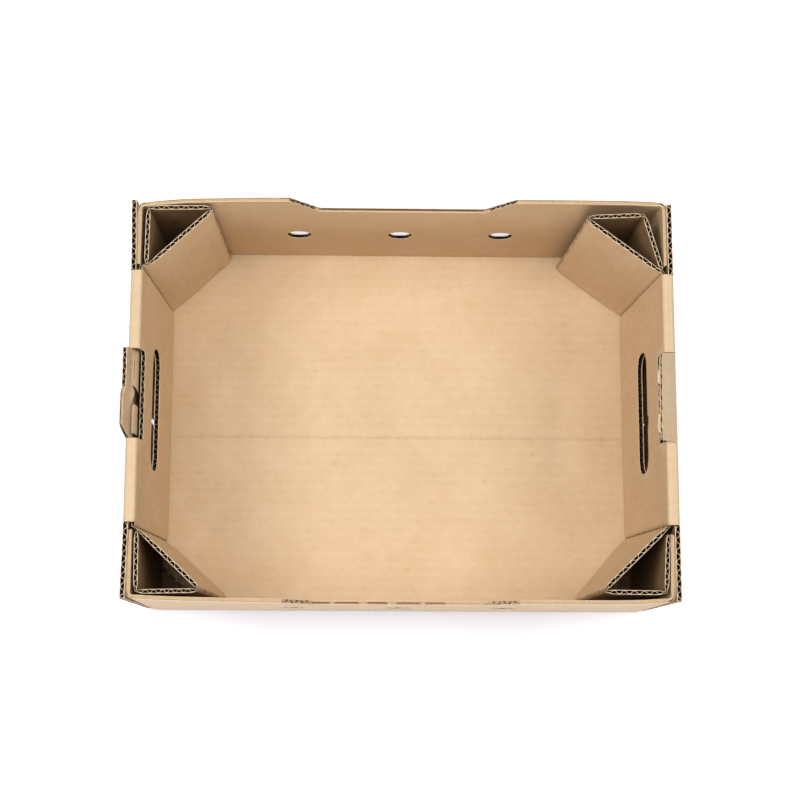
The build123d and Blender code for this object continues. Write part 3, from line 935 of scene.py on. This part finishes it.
# %% Stacking tabs
TAB_TOP = ROOT + TAB_HEIGHT
TAB_CORNER = 1.6
TAB_SKIN = {-1: 0.5, 1: 0.62}  # the liners look thicker where their cut edges have frayed
TAB_FLANK = {(-1, -1): 4.0, (-1, 1): 1.4, (1, -1): 1.0, (1, 1): 1.0}  # how deep each side is open
at_root = np.linspace(ROOT - 2.4, ROOT + 2.4, 13)
tab_stations = np.concatenate([at_root, np.linspace(ROOT + 3, TAB_TOP, 9)[:-1]])
tab_rows = np.linspace(TAB_Y[0], TAB_Y[1], 34)[1:-1]


def tab_side(low, high):
    """The slanting side of a tab, from low at its root to high at its top."""
    first, last = ROOT + 0.5, TAB_TOP - TAB_CORNER
    return lambda x: low + (high - low) * np.clip((x - first) / (last - first), 0, 1)


for end, paper in ends.items():
    place = tab_maker(end)
    skin = TAB_SKIN[end]
    (front_root, front_top), (back_root, back_top) = TAB_SIDES[end]
    outline = [
        (0, front_root), (ROOT + 0.5, front_root), (TAB_TOP - TAB_CORNER, front_top),
        (TAB_TOP, front_top + TAB_CORNER), (TAB_TOP, back_top - TAB_CORNER), (TAB_TOP - TAB_CORNER, back_top),
        (ROOT + 0.5, back_root), (0, back_root),
    ]
    if end < 0:
        panel = cut_panel(outline, [], tab_stations, tab_rows)
        # Painted shade along the left tab's root crease
        crease_shade = lambda flat: 1.2 * left_crease(flat[:, 0] - ROOT, flat[:, 1])
        lay_liner(paper, panel, place, 1, along=0, skin=skin)
        lay_liner(paper, panel, place, -1, along=0, skin=skin, wear_and_shade=crease_shade)
    else:
        # The outer liner split at the back end of the root, and the inner one tore into a fringe
        split = [(ROOT + 2.2, back_root), (ROOT + 0.3, back_root - 6.5), (ROOT - 1.6, back_root)]
        split_panel = cut_panel(outline[:-2] + split + outline[-1:], [], tab_stations, tab_rows)
        fringe_y = np.linspace(front_top + TAB_CORNER, back_top - TAB_CORNER, 40)
        fringe = [(TAB_TOP + float(torn_fringe(y)), y) for y in fringe_y]
        fringe_panel = cut_panel(outline[:3] + fringe + outline[5:], [], tab_stations, tab_rows)
        lay_liner(paper, split_panel, place, 1, along=0, skin=skin)
        lay_liner(paper, fringe_panel, place, -1, along=0, skin=skin, back=CUT)
    lay_fluting(paper, place, 0, front_top + 0.8, back_top - 0.8, fixed(TAB_TOP), -1)
    if end < 0:
        # Handling crushed the front half of the left tab's raw edge, so its flutes are shallow there
        lay_flank(paper, place, 1, front_top + 0.8, 3.0, fixed(TAB_TOP - 1.0), -1, 0.6, 7)
    for way, ends_of_side in ((-1, (front_root, front_top)), (1, (back_root, back_top))):
        side_cut = tab_side(*ends_of_side)
        lay_flank(paper, place, 0, 0.3, TAB_TOP - 1.2, side_cut, -way, TAB_FLANK[end, way], way + 5)
print(f"tabs: {TAB_HEIGHT:.0f} mm high above their roots")

# %% [markdown]
# ## Lips of torn liner
#
# Between the left tab and the cut edge of the inner panel, two strips of the rolled board's
# liner were never cut. They still bridge the gap, and a torn hole is left between them. Cloth
# simulation could drape them, but they are stiff and short, so each is a cut sheet bent along
# one curve, with a little heave in it.

# %% Lips of torn liner beside the left tab
LIP_RUN = 12.0  # how far a lip reaches, from the tab's root to the inner panel
LIP_CURVE = [np.array(p) for p in ((197.0, 151.0), (193.4, 152.2), (193.4, 141.4))]
LIPS = (
    [(0, 8.0), (LIP_RUN, 3.0), (LIP_RUN, 33.2), (1.5, 33.4), (0, 31.0)],
    [(1.5, -28.0), (LIP_RUN, -28.5), (LIP_RUN, -7.5), (3.0, -6.5), (1.0, -9.0)],
)


def lip_place(flat, offset):
    t = np.clip(flat[:, 0] / LIP_RUN, 0, 1)[:, None]
    first, middle, last = LIP_CURVE
    p = first * (1 - t) ** 2 + middle * 2 * t * (1 - t) + last * t**2
    heave = 0.35 * ripple(flat[:, 1], 3, 1.0, 17.0)
    return np.stack([-p[:, 0], flat[:, 1], p[:, 1] + offset - HALF + heave], 1)


def lip_wear(flat):
    """The brown crack along the back lip, and the torn end of it."""
    s, y = flat[:, 0], flat[:, 1]
    crack = swell(s, 3.0, 0.5) * smooth(y, 11, 13) * (1 - smooth(y, 30, 31))
    return crack + swell(y, 32.6, 1.3) * (1 - smooth(s, 5, 7))


for outline in LIPS:
    panel = cut_panel(outline, [], np.linspace(0, LIP_RUN, 25)[1:-1], np.linspace(-28, 33, 40))
    lay_liner(ends[-1], panel, lip_place, 1, along=0, wear_and_shade=lip_wear)
    print(f"lip: {len(panel[1])} triangles a side")

# %% [markdown]
# ## Corner posts
#
# Each side of an inner panel goes on into a triangular tube: a panel across the corner, one
# back along the long wall, and one along the end flap, whose cut edge stays free. The folds
# are sharp, and the board is pinched there. An array of one post would be neater than the
# tray is. No two posts stand quite alike, so a small table holds each one's stance.

# %% Stance of the posts
# For each post, in plan and counted from the middle of the tray, at the top and at the foot:
# the Y of its crease, then its tip, its heel and its free edge.
POSTS = {
    (-1, 1): [
        (97.0, (140.8, 141.8), (188.4, 141.2), (189.0, 99.1)),
        (96.2, (137.6, 142.8), (187.6, 142.2), (189.0, 99.8)),
    ],
    (1, 1): [
        (95.2, (136.4, 136.8), (179.8, 138.9), (191.9, 97.2)),
        (96.0, (131.0, 137.0), (179.6, 139.4), (191.4, 98.0)),
    ],
    (-1, -1): [
        (95.4, (144.0, 140.6), (189.6, 141.5), (190.2, 99.2)),
        (93.7, (134.4, 141.4), (189.0, 142.2), (190.2, 99.8)),
    ],
    (1, -1): [
        (92.8, (144.3, 140.0), (189.2, 140.5), (191.6, 99.2)),
        (89.4, (142.2, 141.0), (189.0, 142.0), (191.0, 99.8)),
    ],
}
# Behind the crease the board was bent back and forth and lies crushed: how much of its
# thickness is lost there, and over what length
CRUSHED = {(-1, 1): (0.55, 10.0), (1, 1): (0.15, 4.0), (-1, -1): (0.60, 13.0), (1, -1): (0.45, 6.0)}
# At the top it also kinks outward, this far from the crease and by this much
KINK_AT = 6.0
KINK = {(-1, 1): 2.8, (1, 1): 0.5, (-1, -1): 0.6, (1, -1): 0.0}
# Radius and half thickness at the crease, the kink, the tip and the heel, and at the free edge
POST_BENDS = [(1.2, 1.2), (1.2, 1.5), (1.0, 0.85), (1.0, 0.85)]
FREE_EDGE_HALF = 0.9


def post_path(end, side, top):
    """A post in plan, at its foot or its top, from where it joins the inner panel."""
    crease_y, tip, heel, free = POSTS[end, side][0 if top else 1]
    x = inner_x(POST_HEIGHT if top else FOOT)
    crease = np.array((x, crease_y))
    ahead = unit(np.array(tip) - crease)
    kink = crease + KINK_AT * ahead + (KINK[end, side] if top else 0.0) * np.array((-ahead[1], ahead[0]))
    corners = [(x, POST_START), crease, kink, tip, heel, free]
    path = fold_path(corners, POST_BENDS, True, (HALF, FREE_EDGE_HALF), cells=9)
    amount, reach = CRUSHED[end, side]
    past = np.maximum(path["walked"] - (crease_y - POST_START), 0)
    path["half"] = path["half"] * (1 - amount * swell(past, 0.0, reach) * (past > 0))
    return path


for end, side in POSTS:
    print(f"post {end:+d} {side:+d} unrolls to {post_path(end, side, True)['walked'][-1]:.0f} mm")

# %% Corner posts
def post_maker(end, side):
    foot, top = post_path(end, side, False), post_path(end, side, True)
    crease, _, tip, _ = foot["folds"]
    seed = end * 2.0 + side

    def place(flat, offset):
        walked, z = flat[:, 0], flat[:, 1]
        offset = np.broadcast_to(offset, walked.shape)
        # Folding by hand tears the liner a little: fold lines wander and their ends are ragged
        worn = 0.30 * swell(walked, crease, 2.0) * ripple(z, seed, 1.0, 19.0)
        worn += 0.55 * swell(walked, tip, 2.5) * ripple(z, seed + 4, 1.0, 47.0)
        heave = np.sin(walked / 15.0 + seed) * np.sin(z / 31.0 + seed)
        worn += 0.22 * heave * smooth(walked, crease, crease + 12)
        plan = between(foot, top, FOOT, POST_HEIGHT, walked, z, offset + worn * (z < POST_HEIGHT - 0.5))
        return np.stack([end * plan[:, 0], side * plan[:, 1], z], 1)

    def wear_and_shade(flat):
        """Darker, ragged lines along the two folds that can be seen. Past the tip, painted shade darkens the
        faces that stand against the walls.
        """
        walked = flat[:, 0]
        folds = swell(walked, crease, 1.1) + 0.9 * swell(walked, tip, 1.3)
        # Painted shade on the faces past the tip
        return folds + 3.0 * smooth(walked, tip + 0.5, tip + 3)

    return place, foot["walked"], wear_and_shade


posts = Paper()
for end, side in POSTS:
    place, walked, wear_and_shade = post_maker(end, side)
    low, high = walked[0], walked[-1]
    outline = [(low, FOOT), (high, FOOT), (high, POST_HEIGHT), (low, POST_HEIGHT)]
    panel = cut_panel(outline, [], walked, np.linspace(FOOT, POST_HEIGHT, 30)[1:-1])
    lay_liners(posts, panel, place, along=1, inner_face=SHADED_INSIDE_LINER, outer_wear_and_shade=wear_and_shade)
    lay_fluting(posts, place, 1, low + RIM_HALF - POST_START, high - 0.8, fixed(POST_HEIGHT), -1)
    lay_flank(posts, place, 1, FOOT, POST_HEIGHT - 0.3, fixed(high), -1, 0.4, end + side)
print(f"posts: {posts.count} points")

# %% [markdown]
# ## Colour and nodes
#
# Board has no coat or metal in it. Every finish here is a plain dielectric with no gloss, so it
# keeps the usual IOR of paper, about 1.5, and a high roughness. Colours are written as sRGB hex
# values, as a colour picker gives them, and turned to the linear values that light adds up in.

# %% Colour and node helpers
PAPER_IOR = 1.5


def srgb(hex_colour):
    """An sRGB hex value as linear RGBA."""
    channels = [int(hex_colour[i : i + 2], 16) / 255 for i in (1, 3, 5)]
    linear = [c / 12.92 if c <= 0.04045 else ((c + 0.055) / 1.055) ** 2.4 for c in channels]
    return (*linear, 1.0)


def node(tree, kind, inputs, output=0, **settings):
    """Adds a node and gives one of its outputs.

    inputs maps sockets, by name or number, to values or to other nodes' outputs."""
    made = tree.nodes.new(kind)
    for key, value in settings.items():
        setattr(made, key, value)
    for key, value in inputs.items():
        if isinstance(value, bpy.types.NodeSocket):
            tree.links.new(value, made.inputs[key])
        else:
            made.inputs[key].default_value = value
    return made.outputs[output] if made.outputs else None


def new_material(name):
    material = bpy.data.materials.new(name)
    material.use_nodes = True
    material.node_tree.nodes.clear()
    return material, material.node_tree


print("kraft brown, linear:", [round(c, 3) for c in srgb("#C9A87D")[:3]])

# %% [markdown]
# ## Kraft liner
#
# The faces of the board are kraft liner, an unbleached softwood paper rolled smooth on the
# paper machine: warm brown, dull and a little cloudy, with fibres that lie one way and the odd
# dark speck of bark. A photo texture would show its tiling on so large a tray, so the clouds,
# fibres, specks and scuffs are noises, each with its real size in metres on the flat blank.

# %% Kraft liner
# Size in metres of each even noise on the sheet, then its detail and its roughness
GRAINS = {
    "torn fibre": (0.0035, 3.0, 0.6),
    "clouds of pulp": (0.045, 3.0, 0.55),
    "patches of pulp": (0.009, 3.0, 0.65),
    "specks of bark": (0.0017, 1.0, 0.5),
}
# Drawn-out marks: size in metres along both flat coordinates, turn in radians, detail, roughness.
# Fibres lie across the flutes, and a scuff is where something was dragged.
STREAKS = {
    "fibres": (0.004, 0.0007, 0.0, 2.0, 0.5),
    "scuffs": (0.004, 0.014, 0.5, 4.0, 0.6),
}


def kraft_liner(name, pale, deep, speck, torn):
    material, tree = new_material(name)
    blank = node(tree, "ShaderNodeUVMap", {}, "UV", uv_map="blank")
    noise = {}
    for mark, (size, detail, rough) in GRAINS.items():
        grain = {"Vector": blank, "Scale": 1 / size, "Detail": detail, "Roughness": rough}
        noise[mark] = node(tree, "ShaderNodeTexNoise", grain)
    for mark, (width, length, turn, detail, rough) in STREAKS.items():
        stretch = {"Vector": blank, "Rotation": (0, 0, turn), "Scale": (1 / width, 1 / length, 1.0)}
        place = node(tree, "ShaderNodeMapping", stretch)
        grain = {"Vector": place, "Scale": 1.0, "Detail": detail, "Roughness": rough}
        noise[mark] = node(tree, "ShaderNodeTexNoise", grain)
    # The flutes press through the liner as faint bands, one pitch apart
    across = node(tree, "ShaderNodeSeparateXYZ", {"Vector": blank}, "X")
    turns = node(tree, "ShaderNodeMath", {0: across, 1: 2 * math.pi / (PITCH * MM)}, operation="MULTIPLY")
    bands = node(tree, "ShaderNodeMath", {0: turns}, operation="SINE")

    # Only the peaks of these noises show
    reach = {"Value": noise["specks of bark"], "From Min": 0.74, "From Max": 0.82, "To Max": 0.7}
    specks = node(tree, "ShaderNodeMapRange", reach)
    reach = {"Value": noise["scuffs"], "From Min": 0.60, "From Max": 0.78, "To Max": 0.35}
    scuffs = node(tree, "ShaderNodeMapRange", reach)
    # Where folds have broken the surface, the torn fibre under it shows as a ragged brown line.
    # The same brown is also painted shade inside the posts, behind their tips and in a crease.
    wear_and_shade = node(tree, "ShaderNodeAttribute", {}, "Fac", attribute_name="wear_and_shade")
    reach = {"Value": noise["torn fibre"], "From Min": 0.38, "From Max": 0.62, "To Min": 0.30, "To Max": 1.25}
    rags = node(tree, "ShaderNodeMapRange", reach)
    worn = node(tree, "ShaderNodeMath", {0: wear_and_shade, 1: rags}, operation="MULTIPLY", use_clamp=True)

    shade = -0.10
    clouds, patches, fibres = (noise[mark] for mark in ("clouds of pulp", "patches of pulp", "fibres"))
    for pattern, amount in ((clouds, 0.6), (patches, 0.45), (fibres, 0.25), (bands, 0.03)):
        shade = node(tree, "ShaderNodeMath", {0: pattern, 1: amount, 2: shade}, operation="MULTIPLY_ADD")
    shade = node(tree, "ShaderNodeMath", {0: shade, 1: scuffs}, operation="ADD", use_clamp=True)
    paint = srgb(pale)
    for share, colour in ((shade, deep), (specks, speck), (worn, torn)):
        paint = node(tree, "ShaderNodeMix", {0: share, 6: paint, 7: srgb(colour)}, 2, data_type="RGBA")

    relief = node(tree, "ShaderNodeMath", {0: bands, 1: 0.4, 2: fibres}, operation="MULTIPLY_ADD")
    relief = node(tree, "ShaderNodeMath", {0: patches, 1: 1.2, 2: relief}, operation="MULTIPLY_ADD")
    bump = node(tree, "ShaderNodeBump", {"Strength": 0.5, "Distance": 0.00018, "Height": relief})
    skin = {"Base Color": paint, "Roughness": 0.68, "IOR": PAPER_IOR, "Normal": bump}
    surface = node(tree, "ShaderNodeBsdfPrincipled", skin)
    node(tree, "ShaderNodeOutputMaterial", {"Surface": surface})
    return material


print("kraft liner:", ", ".join(f"{mark} {size[0] / MM:g} mm" for mark, size in GRAINS.items()))

# %% [markdown]
# ## Cut and bare paper
#
# Where the board is cut or torn, short fibres stand up, so the paper is rougher and shows no
# bands. A die's cut through a liner is paler than its face. The fluting is a recycled paper,
# darker, and its colour is painted darker still as painted shade for the hollows between the
# liners. One function makes all three, with its own colours and grain each time, because they
# differ in nothing else.

# %% Cut and bare paper
def torn_paper(name, pale, deep, grain):
    """Cut or bare paper: short fibres, grain metres apart."""
    material, tree = new_material(name)
    blank = node(tree, "ShaderNodeUVMap", {}, "UV", uv_map="blank")
    rough = {"Vector": blank, "Scale": 1 / grain, "Detail": 3.0, "Roughness": 0.6}
    fuzz = node(tree, "ShaderNodeTexNoise", rough)
    paint = node(tree, "ShaderNodeMix", {0: fuzz, 6: srgb(pale), 7: srgb(deep)}, 2, data_type="RGBA")
    bump = node(tree, "ShaderNodeBump", {"Strength": 0.4, "Distance": 0.0001, "Height": fuzz})
    skin = {"Base Color": paint, "Roughness": 0.9, "IOR": PAPER_IOR, "Normal": bump}
    surface = node(tree, "ShaderNodeBsdfPrincipled", skin)
    node(tree, "ShaderNodeOutputMaterial", {"Surface": surface})
    return material


# In the order of the finish numbers
finishes = [
    # The faces of the board: warm, dull and cloudy, which says paper and not wood
    kraft_liner("kraft_liner", "#E2CAAA", "#C9A87D", "#8F6C49", "#6E4A2C"),
    # A cut through a liner: the thin pale line that draws every raw edge
    torn_paper("cut_liner_edge", "#F1DCBC", "#D9B890", 0.0012),
    # The wave between the liners: a darker recycled paper, painted darker still as painted shade,
    # so that each flute reads as a hollow
    torn_paper("shaded_fluting_paper", "#5C3E28", "#3C2617", 0.0020),
    # The side of a flute that a cut has opened: light reaches it, so it looks pale and rough
    torn_paper("bared_flute", "#DFC29A", "#BC9870", 0.0020),
    # The same liner where it faces another ply or the inside of a post, painted darker as painted shade in
    # the gap
    kraft_liner("shaded_inside_liner", "#A3835D", "#896A44", "#6A4A2E", "#54361F"),
]
print("finishes:", ", ".join(finish.name for finish in finishes))

# %% [markdown]
# ## The pieces
#
# The tray is one sheet, and it stands for the one solid node. It could be one mesh too. It is
# made as four, so that each can be looked at by itself, and they meet where the folds and flat
# faces hide it. All ride on the tray's only body.

# %% Make the pieces and bind them to the frame
pieces = [
    body.make("base_and_long_walls", finishes),
    ends[-1].make("left_end_wall", finishes),
    ends[1].make("right_end_wall", finishes),
    posts.make("corner_posts", finishes),
]
for piece in pieces:
    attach(piece, "root")
    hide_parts("tray")

# %% [markdown]
# ## The floor
#
# The photograph is a product shot from above on pure white, with only a soft shadow near the
# tray. A bright white floor would do that, but it would throw its light back on the board and
# wash it out. So this floor is white to the camera and only pale to the light.

# %% Floor
FLOOR_HALF = 6.0  # metres
# Bright studio paper is a touch blue, which evens out the warm light that the board throws on it
FLOOR_COLOUR = (0.76, 0.78, 0.88, 1)
# Near the tray the paper shows its shadow, and further off it glows to plain white: distances
# from the tray's middle in metres, and the glow at each
GLOW_FROM, GLOW_TO = (0.19, 0.28), (0.42, 1.0)


def seen_by_eye(tree, kinds):
    """1 for these kinds of ray, by which the eye sees, and 0 for light that falls on the board."""
    seen = 0.0
    for kind in kinds:
        ray = node(tree, "ShaderNodeLightPath", {}, kind)
        seen = node(tree, "ShaderNodeMath", {0: seen, 1: ray}, operation="MAXIMUM")
    return seen


def stage_floor():
    mesh = bpy.data.meshes.new("floor")
    corners = [(x * FLOOR_HALF, y * FLOOR_HALF, 0) for x, y in ((-1, -1), (1, -1), (1, 1), (-1, 1))]
    mesh.from_pydata(corners, [], [(0, 1, 2, 3)])
    material, tree = new_material("white_paper_floor")
    paper = node(tree, "ShaderNodeBsdfDiffuse", {"Color": FLOOR_COLOUR})
    place = node(tree, "ShaderNodeTexCoord", {}, "Object")
    away = node(tree, "ShaderNodeVectorMath", {0: place}, "Value", operation="LENGTH")
    rise = {"From Min": GLOW_FROM[0], "From Max": GLOW_TO[0], "To Min": GLOW_FROM[1], "To Max": GLOW_TO[1]}
    strength = node(tree, "ShaderNodeMapRange", {"Value": away, **rise})
    glow = node(tree, "ShaderNodeEmission", {"Color": (1, 1, 1, 1), "Strength": strength})
    seen = seen_by_eye(tree, ("Is Camera Ray", "Is Glossy Ray", "Is Transmission Ray"))
    dark = node(tree, "ShaderNodeBsdfTransparent", {"Color": (0, 0, 0, 1)})
    lit = node(tree, "ShaderNodeMixShader", {0: seen, 1: dark, 2: glow})
    both = node(tree, "ShaderNodeAddShader", {0: paper, 1: lit})
    node(tree, "ShaderNodeOutputMaterial", {"Surface": both})
    mesh.materials.append(material)
    floor = bpy.data.objects.new("floor", mesh)
    floor.location.z = -0.0002
    bpy.context.scene.collection.objects.link(floor)
    return floor


floor = stage_floor()
print(f"floor: {2 * FLOOR_HALF:.0f} m wide, {-floor.location.z / MM:.1f} mm under the tray")

# %% [markdown]
# ## Lamps and camera
#
# The shading in the photograph is soft and even, a little stronger from the left, and the base
# is brighter than the walls. That is how a light tent looks: a softbox at each side, one
# overhead, and low in front a fill for the near wall. A single sun would draw hard shadows
# in the tray. The camera's place was solved from the corners of the rims and of the base.

# %% World and lamps
WORLD_DIM = 0.02  # the world is white to the eye too, but lights the tray only this much
TARGET = (0.0, 0.0, 0.05)  # metres, in the middle of the tray
# Name, place, width and height in metres, and watts
SOFTBOXES = (
    ("left_softbox", (-0.95, 0.0, 1.5), (1.1, 0.6), 15.2),
    ("right_softbox", (0.95, 0.0, 1.5), (1.1, 0.6), 10.9),
    ("overhead_softbox", (0.0, 0.0, 1.8), (1.2, 0.5), 13.8),
    ("low_front_fill", (0.0, -1.5, 0.35), (1.6, 0.4), 9.2),
)


def set_world():
    world = bpy.data.worlds.new("studio")
    world.use_nodes = True
    tree = world.node_tree
    tree.nodes.clear()
    dim = node(tree, "ShaderNodeBackground", {"Color": (1, 1, 1, 1), "Strength": WORLD_DIM})
    white = node(tree, "ShaderNodeBackground", {"Color": (1, 1, 1, 1), "Strength": 1.0})
    seen = seen_by_eye(tree, ("Is Camera Ray", "Is Glossy Ray"))
    both = node(tree, "ShaderNodeMixShader", {0: seen, 1: dim, 2: white})
    node(tree, "ShaderNodeOutputWorld", {"Surface": both})
    bpy.context.scene.world = world


def softbox(name, at, size, watts):
    lamp = bpy.data.lights.new(name, "AREA")
    lamp.shape = "RECTANGLE"
    lamp.size, lamp.size_y = size
    lamp.energy = watts
    holder = bpy.data.objects.new(name, lamp)
    holder.location = at
    holder.rotation_mode = "QUATERNION"
    holder.rotation_quaternion = (Vector(TARGET) - Vector(at)).to_track_quat("-Z", "Y")
    bpy.context.scene.collection.objects.link(holder)
    print(f"{name}: {watts} W")


set_world()
for box in SOFTBOXES:
    softbox(*box)

# %% Camera
CAMERA_AT = (-33.84, -205.17, 1309.24)  # millimetres
CAMERA_TURN = (5.45, 79.98, 5.79)  # degrees: round from +Y, down, and roll
FRAME_PX, FOCAL_PX, CENTRE_PX = 800, 1615.84, (382.73, 398.72)  # the lens, in the photograph's pixels
SENSOR_MM = 36.0


def photo_camera():
    """The camera that took the photograph."""
    yaw, pitch, roll = (math.radians(a) for a in CAMERA_TURN)
    ahead = Vector((math.sin(yaw) * math.cos(pitch), math.cos(yaw) * math.cos(pitch), -math.sin(pitch)))
    right = Vector((math.cos(yaw), -math.sin(yaw), 0))
    up = right.cross(ahead)
    across = right * math.cos(roll) + up * math.sin(roll)
    rise = up * math.cos(roll) - right * math.sin(roll)
    data = bpy.data.cameras.new("camera")
    data.sensor_width = SENSOR_MM
    data.lens = FOCAL_PX / FRAME_PX * SENSOR_MM
    data.shift_x = (FRAME_PX / 2 - CENTRE_PX[0]) / FRAME_PX
    data.shift_y = (CENTRE_PX[1] - FRAME_PX / 2) / FRAME_PX
    data.clip_start, data.clip_end = 0.05, 20.0
    camera = bpy.data.objects.new("camera", data)
    turn = Matrix((across, rise, -ahead)).transposed().to_4x4()
    camera.matrix_world = Matrix.Translation(Vector(CAMERA_AT) * MM) @ turn
    bpy.context.scene.collection.objects.link(camera)
    bpy.context.scene.camera = camera
    return camera


camera = photo_camera()
bpy.context.scene.view_settings.view_transform = "Standard"
print(f"camera: {camera.data.lens:.1f} mm lens, {CAMERA_AT[2] * MM:.2f} m up")
